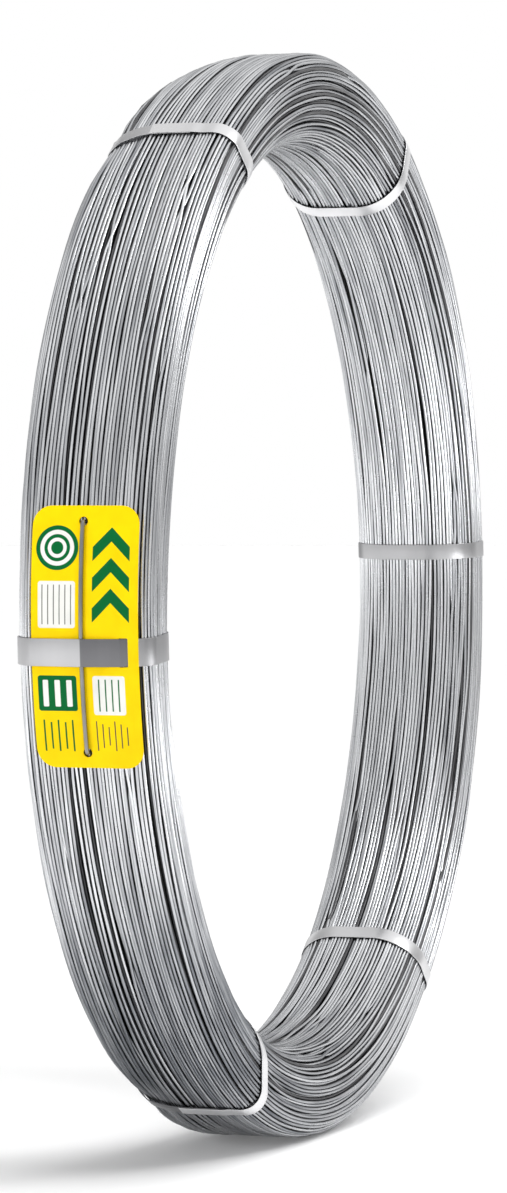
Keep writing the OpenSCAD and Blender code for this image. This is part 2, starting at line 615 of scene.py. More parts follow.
class Outline:
    """The bundle's section, a rectangle with round corners, as a path that starts in mid-bore."""

    BORE_ROUND = 28.0 * MM
    OUTER_ROUND = 13.0 * MM
    SAMPLES = 2400

    def __init__(self, bore_r: float, coil_r: float, half_w: float) -> None:
        """Works out the path.

        Args:
            bore_r: Radius of the bore.
            coil_r: Radius over the outermost turns.
            half_w: Half of the bundle's width.
        """
        self.bore_r = bore_r
        self.coil_r = coil_r
        self.half_w = half_w
        bore_leg = half_w - self.BORE_ROUND
        end_leg = coil_r - bore_r - self.BORE_ROUND - self.OUTER_ROUND
        bore_arc = self.BORE_ROUND * math.pi / 2
        outer_arc = self.OUTER_ROUND * math.pi / 2
        self.outer_leg = 2 * (half_w - self.OUTER_ROUND)
        legs = [
            (bore_leg, 0.0), (bore_arc, self.BORE_ROUND), (end_leg, 0.0), (outer_arc, self.OUTER_ROUND),
            (self.outer_leg, 0.0),
            (outer_arc, self.OUTER_ROUND), (end_leg, 0.0), (bore_arc, self.BORE_ROUND), (bore_leg, 0.0),
        ]
        self.girth = sum(length for length, _ in legs)
        self.run = np.linspace(0.0, self.girth, self.SAMPLES)
        bends = np.array([1.0 / radius if radius else 0.0 for _, radius in legs])
        ends = np.cumsum([length for length, _ in legs])
        leg = np.minimum(np.searchsorted(ends, self.run), len(legs) - 1)
        starts = ends - np.array([length for length, _ in legs])
        turned = np.concatenate([[0.0], np.cumsum(bends * (ends - starts))])[:-1]
        self.heading = math.pi / 2 - turned[leg] - bends[leg] * (self.run - starts[leg])
        step = np.diff(self.run)
        middle = 0.5 * (self.heading[1:] + self.heading[:-1])
        self.radius = bore_r + np.concatenate([[0.0], np.cumsum(step * np.cos(middle))])
        self.height = np.concatenate([[0.0], np.cumsum(step * np.sin(middle))])

    def at(self, run: np.ndarray, lift: np.ndarray | float) -> tuple[np.ndarray, np.ndarray]:
        """Finds places along the path.

        Args:
            run: Distances along the path, which wrap round.
            lift: How far each place stands off the path, outwards.

        Returns:
            Places and outward directions, each as pairs of radius and height.
        """
        wrapped = np.mod(run, self.girth)
        facing = np.interp(wrapped, self.run, self.heading) + math.pi / 2
        outward = np.stack([np.cos(facing), np.sin(facing)], -1)
        base = np.stack([np.interp(wrapped, self.run, side) for side in (self.radius, self.height)], -1)
        return base + np.asarray(lift)[..., None] * outward, outward

    def spread(self, count: int, depth: float) -> np.ndarray:
        """Spaces a number of runs evenly along the path at a depth below the surface.

        Args:
            count: Number of runs.
            depth: The depth.

        Returns:
            The path distances, one more than count, ending a whole girth on.
        """
        place, _ = self.at(self.run[:-1], -depth)
        place = np.concatenate([place, place[:1]])
        walked = np.concatenate([[0.0], np.cumsum(np.linalg.norm(np.diff(place, axis=0), axis=1))])
        return np.interp(np.linspace(0.0, walked[-1], count + 1), walked, self.run)

    def signed(self, place: np.ndarray) -> tuple[np.ndarray, np.ndarray]:
        """Measures how far places stand outside the section.

        Args:
            place: Pairs of radius and height.

        Returns:
            Distances, negative inside, and outward directions.
        """
        x = place[..., 0] - 0.5 * (self.bore_r + self.coil_r)
        y = place[..., 1]
        corner = np.where(x < 0, self.BORE_ROUND, self.OUTER_ROUND)
        qx = np.abs(x) - 0.5 * (self.coil_r - self.bore_r) + corner
        qy = np.abs(y) - self.half_w + corner
        over = np.hypot(np.maximum(qx, 0), np.maximum(qy, 0))
        distance = np.minimum(np.maximum(qx, qy), 0) + over - corner
        in_corner = (qx > 0) & (qy > 0)
        safe = np.maximum(over, TINY)
        gx = np.where(in_corner, qx / safe, (qx >= qy).astype(float)) * np.sign(x)
        gy = np.where(in_corner, qy / safe, (qx < qy).astype(float)) * np.sign(y)
        return distance, np.stack([gx, gy], -1)


@dataclass
class Line:
    """A line to sweep along, with the way its section faces and what its finish reads."""

    places: np.ndarray
    outward: np.ndarray
    tone: np.ndarray
    along: np.ndarray


class SweepTree:
    """Geometry Nodes that sweep a section along a line, with its facing taken from an attribute."""

    EDGE_SHARE = 0.45

    def __init__(self, name: str, flat: bool) -> None:
        """Builds the tree.

        Args:
            name: The tree's name.
            flat: Whether the section is a strip with rounded edges, or else an oval.
        """
        self.tree, build, given, out = make_group(
            name, "GeometryNodeTree",
            {"Lines": "Geometry", "Width": "Float", "Depth": "Float", "Sides": "Int", "Finish": "Material"},
            {"Geometry": "Geometry"},
        )
        lines, width, depth, sides, finish = given.outputs[:5]
        curve = build.out("GeometryNodeMeshToCurve", {"Mesh": lines})
        facing = build.add("GeometryNodeInputNamedAttribute", {"Name": "outward"}, data_type="FLOAT_VECTOR")
        turned = {"Curve": curve, "Normal": facing.outputs["Attribute"]}
        curve = build.out("GeometryNodeSetCurveNormal", turned, mode="FREE")
        if flat:
            size = {"Width": depth, "Height": width}
            section = build.out("GeometryNodeCurvePrimitiveQuadrilateral", size)
            edge = build.math("MULTIPLY", depth, self.EDGE_SHARE)
            rounded = {"Curve": section, "Count": sides, "Radius": edge}
            section = build.out("GeometryNodeFilletCurve", rounded, mode="POLY")
        else:
            ring = build.out("GeometryNodeCurvePrimitiveCircle", {"Resolution": sides, "Radius": 0.5})
            size = build.out("ShaderNodeCombineXYZ", {"X": depth, "Y": width, "Z": 1.0})
            section = build.out("GeometryNodeTransform", {"Geometry": ring, "Scale": size})
        swept = {"Curve": curve, "Profile Curve": section, "Fill Caps": True}
        body = build.out("GeometryNodeCurveToMesh", swept)
        body = build.out("GeometryNodeSetShadeSmooth", {"Geometry": body})
        body = build.out("GeometryNodeRealizeInstances", {"Geometry": body})
        body = build.out("GeometryNodeSetMaterial", {"Geometry": body, "Material": finish})
        build.feed(out.inputs["Geometry"], body)

    def sweep(self, name: str, line: Line, section: Pair, sides: int,
              finish: Material) -> Object:
        """Sweeps the section along a line.

        Args:
            name: The piece's name.
            line: The line to follow.
            section: The section's size along the surface and across it.
            sides: Sides of the oval, or points on each round edge of the strip.
            finish: The piece's material.

        Returns:
            The piece, as a plain mesh.
        """
        mesh = bpy.data.meshes.new(name)
        index = np.arange(len(line.places))
        mesh.from_pydata(line.places.tolist(), np.stack([index[:-1], index[1:]], -1).tolist(), [])
        outward = mesh.attributes.new("outward", "FLOAT_VECTOR", "POINT")
        outward.data.foreach_set("vector", line.outward.astype("f").ravel())
        for label, values in (("tone", line.tone), ("along", line.along)):
            mesh.attributes.new(label, "FLOAT", "POINT").data.foreach_set("value", values.astype("f"))
        piece = new_object(name, mesh)
        sweeper = piece.modifiers.new("sweep", "NODES")
        sweeper.node_group = self.tree
        given = {"Width": section[0], "Depth": section[1], "Sides": sides, "Finish": finish}
        for socket in self.tree.interface.items_tree:
            if socket.item_type == "SOCKET" and socket.in_out == "INPUT" and socket.name in given:
                sweeper[socket.identifier] = given[socket.name]
        graph = bpy.context.evaluated_depsgraph_get()
        swept = bpy.data.meshes.new_from_object(piece.evaluated_get(graph), preserve_all_data_layers=True,
                                                depsgraph=graph)
        piece.modifiers.remove(sweeper)
        piece.data = swept
        bpy.data.meshes.remove(mesh)
        swept.name = name
        return piece


@dataclass(frozen=True)
class Lay:
    """One lay of turns: its depth in the bundle, how full it is, and how finely it is drawn."""

    region: Region
    depth: float
    fill: float
    sides: int
    fine: int
    pieces: int


@dataclass(frozen=True)
class Dent:
    """A place where the bundle's far outer edge is pressed in."""

    angle: float
    reach: float
    depth: float


@dataclass(frozen=True)
class PaintedLightZone:
    """A stretch of the coil with painted shade on its zinc, or painted light where its tone is below zero,
    in place of darker or brighter reflections.
    """

    angle: float
    reach: float
    tone: float


@dataclass
class WireBundle:
    """The loose turns of the coil, settled against each other inside the straps.

    Each unevenness has its size and its shortest waves, as waves in one turn. Kinks have their longest too.
    """

    outline: Outline
    strap_angles: list[float]
    dents: list[Dent]
    wire_w: float = 1.9 * MM
    wire_h: float = 1.75 * MM
    spacing: float = 2.2 * MM
    stations: int = 96
    seed: int = 11
    drift: float = 1.6 * MM
    drift_waves: float = 1.2
    drift_turns: float = 9.0
    wander: float = 0.8 * MM
    wander_waves: float = 2.6
    heave: float = 0.6 * MM
    heave_waves: float = 1.8
    stray_share: float = 0.05
    stray_ease: float = 0.5
    stray_length_waves: float = 1.0
    stray_wander: float = 6.0 * MM
    stray_waves: float = 1.4
    kink: float = 0.16 * MM
    kink_waves: Pair = (22.0, 5.0)
    roll: float = math.radians(38.0)
    roll_waves: float = 1.5
    tone_spread: float = 0.28
    tone_waves: float = 0.8
    bulge: float = 0.8 * MM
    loose_angle: float = math.radians(95.0)
    loose_reach: float = math.radians(34.0)
    loose_gain: float = 0.6
    rounds: int = 70
    last_rounds: int = 6
    push_share: float = 0.55
    push_closest: float = 0.25
    straighten_share: float = 0.14
    near_step: int = 8
    near_turns: int = 26
    lay_offset: float = 1000.0
    core_depth: float = 5.9 * MM
    core_floor: float = 11.5 * MM
    core_steps: int = 120
    dent_width: float = 12.5 * MM
    # Painted shade and painted light round the coil, where its turns would reflect a darker or brighter
    # part of the room.
    painted_light_zones: tuple[PaintedLightZone, ...] = (
        PaintedLightZone(math.radians(234.0), reach=math.radians(21.0), tone=1.2),
        PaintedLightZone(math.radians(46.0), reach=math.radians(18.0), tone=0.2),
        PaintedLightZone(math.radians(352.0), reach=math.radians(14.0), tone=-0.45),
        PaintedLightZone(math.radians(295.0), reach=math.radians(14.0), tone=-0.35),
    )
    lays: tuple[Lay, ...] = (
        Lay(Region.SURFACE, depth=1.1 * MM, fill=1.02, sides=10, fine=2, pieces=3),
        Lay(Region.SECOND, depth=2.9 * MM, fill=0.94, sides=8, fine=1, pieces=1),
        Lay(Region.THIRD, depth=4.7 * MM, fill=0.86, sides=6, fine=1, pieces=1),
    )

    def build(self, tree: SweepTree, finishes: dict[Region, Material]) -> None:
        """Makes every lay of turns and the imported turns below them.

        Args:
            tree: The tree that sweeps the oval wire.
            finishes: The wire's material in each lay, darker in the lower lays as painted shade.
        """
        counts, places = self.wind()
        places = self.settle(counts, places)
        first = 0
        for lay, count in zip(self.lays, counts):
            self.sweep_lay(lay, places[first:first + count], tree, finishes[lay.region])
            first += count
        self.build_core(finishes[Region.THIRD])

    def lay_noise(self, rng: np.random.Generator, count: int, waves: float) -> np.ndarray:
        """Makes smooth noise along the whole length of a lay.

        Args:
            rng: The source of random numbers.
            count: Number of turns.
            waves: The shortest waves to keep, as waves in one turn.

        Returns:
            Noise of unit spread, by turn and station.
        """
        return wave_noise(rng, count * self.stations, count, waves).reshape(count, self.stations)

    def wind(self) -> tuple[list[int], np.ndarray]:
        """Lays the turns one beside the other, as one spiral in each lay, with some wander.

        Returns:
            The number of turns in each lay, and the places of all turns at each station.
        """
        rng = np.random.default_rng(self.seed)
        counts, laid = [], []
        share = np.arange(self.stations) / self.stations
        loose = 1 + self.loose_gain * bell(FULL_TURN * share - self.loose_angle, self.loose_reach)
        for lay in self.lays:
            girth = self.outline.girth - FULL_TURN * lay.depth
            count = int(lay.fill * girth / self.spacing)
            marks = self.outline.spread(count, lay.depth)
            run = marks[:-1, None] + np.diff(marks)[:, None] * share
            shared = self.lay_noise(rng, count, self.drift_waves)
            slow = bell(np.fft.fftfreq(count) * self.drift_turns, 1.0)
            shared = np.fft.ifft(np.fft.fft(shared, axis=0) * slow[:, None], axis=0).real
            run = run + self.drift * shared / shared.std()
            run = run + self.wander * self.lay_noise(rng, count, self.wander_waves)
            depth = lay.depth + self.heave * loose * self.lay_noise(rng, count, self.heave_waves)
            stray = self.stray_weight(rng, count)
            run = run + self.stray_wander * stray * self.lay_noise(rng, count, self.stray_waves)
            place, _ = self.outline.at(run, self.spacing * stray - depth)
            counts.append(count)
            laid.append(place)
        return counts, np.concatenate(laid)

    def stray_weight(self, rng: np.random.Generator, count: int) -> np.ndarray:
        """Picks the stretches of wire that stray over their neighbours.

        Args:
            rng: The source of random numbers.
            count: Number of turns.

        Returns:
            Weights from 0 to 1, by turn and station.
        """
        noise = self.lay_noise(rng, count, self.stray_length_waves)
        start = np.quantile(noise, 1 - self.stray_share)
        return ramp(noise, start, start + self.stray_ease)

    def edge_dip(self, surface: np.ndarray, angle: np.ndarray) -> np.ndarray:
        """Works out how far the bundle is pressed in by its dents.

        Args:
            surface: Places on the section's outline.
            angle: Their angles about the coil's axis.

        Returns:
            Depths below the outline.
        """
        inset = Outline.OUTER_ROUND * (1 - math.sqrt(0.5))
        apex = np.array([self.outline.coil_r - inset, inset - self.outline.half_w])
        near = np.exp(-((surface - apex) ** 2).sum(-1) / (2 * self.dent_width ** 2))
        dip = np.zeros_like(angle)
        for dent in self.dents:
            dip = np.maximum(dip, dent.depth * bell(turn_from(angle, dent.angle), dent.reach))
        return dip * near

    def looseness(self) -> np.ndarray:
        """Works out how far the bundle swells at each station, between one strap and the next.

        Returns:
            The swelling, by station.
        """
        angle = angles_round(self.stations)
        straps = np.sort(np.mod(self.strap_angles, FULL_TURN))
        after = np.searchsorted(straps, angle) % len(straps)
        start, end = straps[after - 1], straps[after]
        share = np.mod(angle - start, FULL_TURN) / np.mod(end - start, FULL_TURN)
        return self.bulge * np.sin(math.pi * share) ** 2

    def settle(self, counts: list[int], places: np.ndarray) -> np.ndarray:
        """Pushes the turns apart where they cut into each other, and keeps them inside the straps.

        Args:
            counts: Number of turns in each lay.
            places: Places of all turns, by turn and station.

        Returns:
            The settled places.
        """
        near = self.neighbours(places)
        loose = self.looseness() - self.spacing / 2
        angle = angles_round(self.stations)
        ends = np.cumsum(counts)
        for step in range(self.rounds):
            gap = places[near] - places[:, None]
            reach = np.linalg.norm(gap, axis=-1) / self.spacing
            push = np.where(reach < 1, 0.5 * (1 - 1 / np.maximum(reach, self.push_closest)), 0.0)
            places = places + self.push_share * (gap * push[..., None]).sum(1)
            if step < self.rounds - self.last_rounds:
                for first, last in zip(ends - counts, ends):
                    row = places[first:last].reshape(-1, 2)
                    row += self.straighten_share * (0.5 * (np.roll(row, 1, 0) + np.roll(row, -1, 0)) - row)
            distance, outward = self.outline.signed(places)
            sunk = distance + self.edge_dip(places - distance[..., None] * outward, angle)
            over = np.maximum(sunk - loose, 0) - np.maximum(-self.core_depth - sunk, 0)
            places = places - over[..., None] * outward
        return places

    def neighbours(self, places: np.ndarray) -> np.ndarray:
        """Lists the turns that lie nearest to each turn.

        Args:
            places: Places of all turns, by turn and station.

        Returns:
            Turn numbers, by turn.
        """
        some = places[:, ::self.near_step]
        gap = np.linalg.norm(some[:, None] - some[None], axis=-1).min(-1)
        np.fill_diagonal(gap, np.inf)
        return np.argsort(gap, axis=1)[:, :self.near_turns]

    def sweep_lay(self, lay: Lay, places: np.ndarray, tree: SweepTree, finish: Material) -> None:
        """Sweeps the wire along one lay of turns, as its pieces.

        Args:
            lay: The lay.
            places: Its places, by turn and station.
            tree: The tree that sweeps the wire.
            finish: The wire's material.
        """
        rng = np.random.default_rng(self.seed + lay.sides)
        count = len(places)
        row = places.reshape(-1, 2)
        if lay.fine == 2:
            row = np.stack([row, halfway(row)], 1).reshape(-1, 2)
        fine = lay.fine * self.stations
        kinks = [wave_noise(rng, len(row), count, *self.kink_waves) for _ in range(2)]
        row = row + self.kink * np.stack(kinks, -1)
        angle = np.tile(angles_round(fine), count)
        _, outward = self.outline.signed(row)
        roll = self.roll * np.repeat(self.lay_noise(rng, count, self.roll_waves).ravel(), lay.fine)
        turned = np.stack([-outward[:, 1], outward[:, 0]], -1)
        outward = np.cos(roll)[:, None] * outward + np.sin(roll)[:, None] * turned
        tone = np.repeat(self.lay_noise(rng, count, self.tone_waves).ravel(), lay.fine)
        tone = MID_TONE + self.tone_spread * tone
        # Adds each zone's painted shade to the turns' tone, and painted light where the zone's tone is
        # below zero.
        for painted_zone in self.painted_light_zones:
            tone = tone + painted_zone.tone * bell(turn_from(angle, painted_zone.angle), painted_zone.reach)
        step = FULL_TURN * self.outline.coil_r / fine
        along = np.arange(len(row)) * step + self.lay_offset * lay.depth / MM
        spots, facing = stand_up(row, angle), stand_up(outward, angle)
        cuts = np.linspace(0, count, lay.pieces + 1).astype(int) * fine
        for part, (first, last) in enumerate(zip(cuts[:-1], cuts[1:])):
            index = np.arange(first, last + 1) % len(row)
            line = Line(spots[index], facing[index], tone[index], along[index])
            name = f"{lay.region.value}_turns_{part + 1}"
            piece = tree.sweep(name, line, (self.wire_w, self.wire_h), lay.sides, finish)
            dress(piece, COIL)

    def build_core(self, finish: Material) -> None:
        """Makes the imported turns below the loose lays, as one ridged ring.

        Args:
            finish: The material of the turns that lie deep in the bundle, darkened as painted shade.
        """
        ridges = int((self.outline.girth - FULL_TURN * self.core_depth) / self.spacing)
        marks = self.outline.spread(2 * ridges, self.core_depth)[:-1]
        angle = angles_round(self.core_steps)[:, None]
        surface, _ = self.outline.at(marks, 0.0)
        sunk = np.minimum(self.core_depth + self.edge_dip(surface, angle), self.core_floor)
        groove = np.where(np.arange(2 * ridges) % 2, 0.0, self.wire_h / 2)
        place, _ = self.outline.at(marks, -sunk - groove)
        mesh = bpy.data.meshes.new("packed_turns")
        here = np.arange(self.core_steps)[:, None] * len(marks) + np.arange(len(marks))
        there = np.roll(here, -1, 0)
        faces = np.stack([here, there, np.roll(there, -1, 1), np.roll(here, -1, 1)], -1).reshape(-1, 4)
        mesh.from_pydata(stand_up(place, angle).reshape(-1, 3).tolist(), [], faces.tolist())
        mesh.materials.append(finish)
        mesh.polygons.foreach_set("use_smooth", [True] * len(mesh.polygons))
        for label in ("tone", "along"):
            mesh.attributes.new(label, "FLOAT", "POINT")
        body = bmesh.new()
        body.from_mesh(mesh)
        bmesh.ops.recalc_face_normals(body, faces=body.faces)
        body.to_mesh(mesh)
        body.free()
        dress(new_object("packed_turns", mesh), COIL)


@dataclass(frozen=True)
class StrapFit:
    """How one plain strap lies on the bundle, with its leans in degrees, and its tone of painted reflection
    and painted shade.
    """

    dip: float = 0.0
    bore_lean: float = 0.0
    outer_lean: float = 0.0
    far_lean: float = 0.0
    tone: float = 0.5
    start_shade_tone: float = 0.8


# Each strap's tone is painted reflection, darker where it would mirror a dimmer part of the room; the start
# tone is painted shade on the strap's start.
PLAIN_STRAPS = {
    "strap_1": StrapFit(dip=4.2 * MM, bore_lean=-3.5, far_lean=1.3, start_shade_tone=0.7),
    "strap_2": StrapFit(dip=1.7 * MM, bore_lean=-0.4, tone=0.45),
    "strap_3": StrapFit(bore_lean=0.3, tone=1.5),
    "strap_4": StrapFit(outer_lean=1.4, tone=0.75),
    "strap_5": StrapFit(dip=3.6 * MM, bore_lean=-2.8, outer_lean=0.9, far_lean=-0.6, start_shade_tone=1.7),
}


@dataclass
class Strapping:
    """The flat steel straps round the bundle."""

    outline: Outline
    thick: float = 0.5 * MM
    gap: float = 0.2 * MM
    lap: float = 26.0 * MM
    lap_share: float = 0.55
    climb: float = 7.5 * MM
    step: float = 1.0 * MM
    dip_reach: float = 15.0 * MM
    bore_reach: Pair = (25.0 * MM, 85.0 * MM)
    # The stretch at each strap's start that is painted darker, as painted shade.
    start_shade_length: float = 100.0 * MM
    start_shade_ease: float = 8.0 * MM

    def build(self, tree: SweepTree, finish: Material, angles: dict[str, float]) -> None:
        """Makes the plain straps.

        Args:
            tree: The tree that sweeps a flat strip.
            finish: The strapping's material.
            angles: Each strap's angle, by node.
        """
        start = self.lap_share * self.outline.girth - self.lap
        run = np.arange(0.0, self.outline.girth + self.lap, self.step)
        inner, far = self.bore_side(start + run), self.far_edge(start + run)
        # Painted shade along the strap's start, on top of each strap's tone of painted reflection.
        wear_and_shade = 1 - ramp(run, self.start_shade_length - self.start_shade_ease, self.start_shade_length)
        for node, fit in PLAIN_STRAPS.items():
            lift = self.gap + self.lap_lift(run) - fit.dip * far
            lean = fit.bore_lean * inner + fit.outer_lean * (1 - inner) + fit.far_lean * far
            tone = fit.tone + fit.start_shade_tone * wear_and_shade
            line = self.strip(start + run, lift, angles[node] + np.radians(lean), tone)
            section = (PLAIN_STRAP_W, self.thick)
            piece = tree.sweep(f"{node}_strip", line, section, STRAP_EDGE_POINTS, finish)
            dress(piece, node)

    def bore_side(self, run: np.ndarray) -> np.ndarray:
        """Weighs each place on a strap from 0 on the outer face to 1 in the bore."""
        half = self.outline.girth / 2
        return 1 - ramp(np.abs(np.mod(run + half, self.outline.girth) - half), *self.bore_reach)

    def lap_lift(self, run: np.ndarray) -> np.ndarray:
        """Lifts a strap's end over its start."""
        return (self.thick + self.gap / 2) * ramp(run, self.outline.girth - self.climb, self.outline.girth)

    def far_edge(self, run: np.ndarray) -> np.ndarray:
        """Weighs each place on a strap from 1 at the far outer edge to 0 away from it."""
        middle = self.outline.girth / 2 + self.outline.outer_leg / 2 + Outline.OUTER_ROUND * math.pi / 4
        return bell(np.mod(run, self.outline.girth) - middle, self.dip_reach)

    def strip(self, run: np.ndarray, lift: np.ndarray, angle: np.ndarray | float, tone: np.ndarray) -> Line:
        """Turns a strap's path into a line to sweep.

        Args:
            run: Distances along the section's outline.
            lift: How far the strap's inner face stands off it.
            angle: The strap's angle, which may change along it.
            tone: How dark the strap is painted along it, as painted reflection and painted shade.

        Returns:
            The line.
        """
        place, _ = self.outline.at(run, lift + self.thick / 2)
        heading = np.gradient(place, axis=0)
        heading /= np.linalg.norm(heading, axis=1, keepdims=True)
        outward = np.stack([-heading[:, 1], heading[:, 0]], -1)
        return Line(stand_up(place, angle), stand_up(outward, angle), tone, run - run[0])


@dataclass
class Tag:
    """The yellow tag, its strand of wire, and the wide strap that holds them."""

    outline: Outline
    strapping: Strapping
    angle: float
    middle_z: float
    length: float = 147.0 * MM
    width: float = 63.0 * MM
    thick: float = 0.6 * MM
    corner: float = 11.0 * MM
    corner_steps: int = 10
    rim_round: float = 0.12 * MM
    rim_steps: int = 2
    clear: float = 0.9 * MM
    hole_d: float = 5.4 * MM
    hole_inset: float = 8.7 * MM
    hole_steps: int = 8
    slot_margin: float = 6.0 * MM
    slot_l: float = 5.5 * MM
    slot_side: float = 0.4 * MM
    slot_corner: float = 0.8 * MM
    slot_steps: int = 4
    bend_step: float = 3.0 * MM
    cross_step: float = 4.0 * MM
    merge: float = 1e-6
    curl: float = 0.5 * MM
    ripple: float = 0.12 * MM
    ripple_lengths: Pair = (17 * MM, 14 * MM)
    ripple_start: float = 1.3
    strand_offset: float = 1.6 * MM
    strand_w: float = 2.5 * MM
    strand_h: float = 2.2 * MM
    strand_clear: float = 0.1 * MM
    strand_inside_bend: float = 0.4 * MM
    strand_steps: int = 40
    strand_bend_steps: int = 8
    strand_sides: int = 10
    strand_tone: float = 0.6
    run_up: float = 8.0 * MM
    edge_clear: float = 1.0 * MM
    slot_clear: float = 0.5 * MM
    # The wide strap's tones are painted reflection, darkest past the strand, where it would mirror the dim
    # side of the room.
    wide_shade_tone: float = 1.43
    past_strand_shade_tone: float = 2.4
    past_slot_shade_tone: float = 1.82

    @classmethod
    def from_frame(cls, outline: Outline, strapping: Strapping) -> "Tag":
        """Places the tag by its node's box.

        Args:
            outline: The bundle's section.
            strapping: The straps round the bundle.

        Returns:
            The tag.
        """
        low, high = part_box("tag")
        upper, lower = (math.asin(float(corner[2]) / outline.coil_r) for corner in (high, low))
        return cls(outline, strapping, math.pi - 0.5 * (upper + lower), -0.5 * float(low[1] + high[1]))

    @property
    def in_r(self) -> float:
        """Radius of the tag's inner face."""
        return self.outline.coil_r + self.clear

    @property
    def out_r(self) -> float:
        """Radius of the tag's outer face."""
        return self.in_r + self.thick

    @property
    def strand_z(self) -> float:
        """Height of the strand across the coil."""
        return self.middle_z - self.strand_offset

    @property
    def slot_high(self) -> float:
        """Height of the slot's outer edge."""
        return self.middle_z + self.width / 2 - self.slot_margin

    def build_plate(self, finish: Material, strap_angle: float) -> None:
        """Makes the printed plate with its holes and its slot.

        Args:
            finish: The printed material.
            strap_angle: Angle of the strap that passes through the slot.
        """
        half_l, half_w, hole_r = self.length / 2, self.width / 2, self.hole_d / 2
        hole_v = self.strand_z - self.middle_z
        slot_u = (strap_angle - self.angle) * self.out_r
        slot_v = (self.slot_high - self.slot_l / 2) - self.middle_z
        slot_half = (WIDE_STRAP_W / 2 + self.slot_side, self.slot_l / 2)
        outlines = [self.round_box((0.0, 0.0), (half_l, half_w), self.corner, self.corner_steps)]
        for side in (-1, 1):
            hole_u = side * (half_l - self.hole_inset)
            outlines.append(self.round_box((hole_u, hole_v), (hole_r, hole_r), hole_r, self.hole_steps))
        outlines.append(self.round_box((slot_u, slot_v), slot_half, self.slot_corner, self.slot_steps))
        curve = bpy.data.curves.new("tag_outline", "CURVE")
        curve.dimensions = "2D"
        curve.fill_mode = "BOTH"
        curve.extrude = self.thick / 2 - self.rim_round
        curve.bevel_depth = self.rim_round
        curve.bevel_resolution = self.rim_steps
        for outline in outlines:
            spline = curve.splines.new("POLY")
            spline.points.add(len(outline) - 1)
            for point, (u, v) in zip(spline.points, outline):
                point.co = (u, v, 0.0, 1.0)
            spline.use_cyclic_u = True
        flat = new_object("tag_flat", curve)
        graph = bpy.context.evaluated_depsgraph_get()
        mesh = bpy.data.meshes.new_from_object(flat.evaluated_get(graph), depsgraph=graph)
        bpy.data.objects.remove(flat)
        bpy.data.curves.remove(curve)
        self.bend(mesh)
        mesh.name = "tag_plate"
        mesh.materials.clear()
        mesh.materials.append(finish)
        dress(new_object("tag_plate", mesh), "tag")

    @staticmethod
    def round_box(middle: Pair, half: Pair, corner: float, steps: int) -> list[Pair]:
        """Lists the points of a rectangle with round corners.

        Args:
            middle: The rectangle's middle.
            half: Its half sizes.
            corner: Radius of its corners.
            steps: Steps in each corner.

        Returns:
            The points, once round.
        """
        points = []
        for quarter, (side_u, side_v) in enumerate(((1, 1), (-1, 1), (-1, -1), (1, -1))):
            for step in range(steps + 1):
                turn = math.pi / 2 * (quarter + step / steps)
                points.append((
                    middle[0] + side_u * (half[0] - corner) + corner * math.cos(turn),
                    middle[1] + side_v * (half[1] - corner) + corner * math.sin(turn),
                ))
        return points

    def bend(self, mesh: Mesh) -> None:
        """Cuts the flat plate into fine strips, maps its print, and bends it round the coil.

        Args:
            mesh: The flat plate, which is changed.
        """
        body = bmesh.new()
        body.from_mesh(mesh)
        bmesh.ops.remove_doubles(body, verts=body.verts, dist=self.merge)
        ways = (
            (Vector((1, 0, 0)), self.length / 2, self.bend_step),
            (Vector((0, 1, 0)), self.width / 2, self.cross_step),
        )
        for way, half, step in ways:
            for mark in np.arange(-half + step, half, step):
                parts = body.verts[:] + body.edges[:] + body.faces[:]
                spot = way * float(mark)
                bmesh.ops.bisect_plane(body, geom=parts, plane_co=spot, plane_no=way, dist=self.merge)
        bmesh.ops.recalc_face_normals(body, faces=body.faces)
        layer = body.loops.layers.uv.new("print")
        for face in body.faces:
            face.smooth = True
            for loop in face.loops:
                loop[layer].uv = (loop.vert.co.x / MM, loop.vert.co.y / MM)
        for vert in body.verts:
            u, v, t = vert.co
            radius = self.in_r + self.thick / 2 + t + self.wave(u, v)
            spot = stand_up(np.array([radius, self.middle_z + v]), self.angle + u / self.out_r)
            vert.co = Vector(spot.tolist())
        bmesh.ops.recalc_face_normals(body, faces=body.faces)
        body.to_mesh(mesh)
        body.free()

    def wave(self, u: float, v: float) -> float:
        """Works out how far the plate's free corners curl up and its face ripples.

        Args:
            u: Distance along the flat plate from its middle.
            v: Distance across it.

        Returns:
            The lift off the smooth plate.
        """
        end = (abs(u) / (self.length / 2)) ** 4
        side = max(v / (self.width / 2), 0.0) ** 3
        long, wide = self.ripple_lengths
        ripple = self.ripple * math.sin(u / long + self.ripple_start) * math.cos(v / wide)
        return self.curl * end * side + ripple * (1 - 0.5 * end)

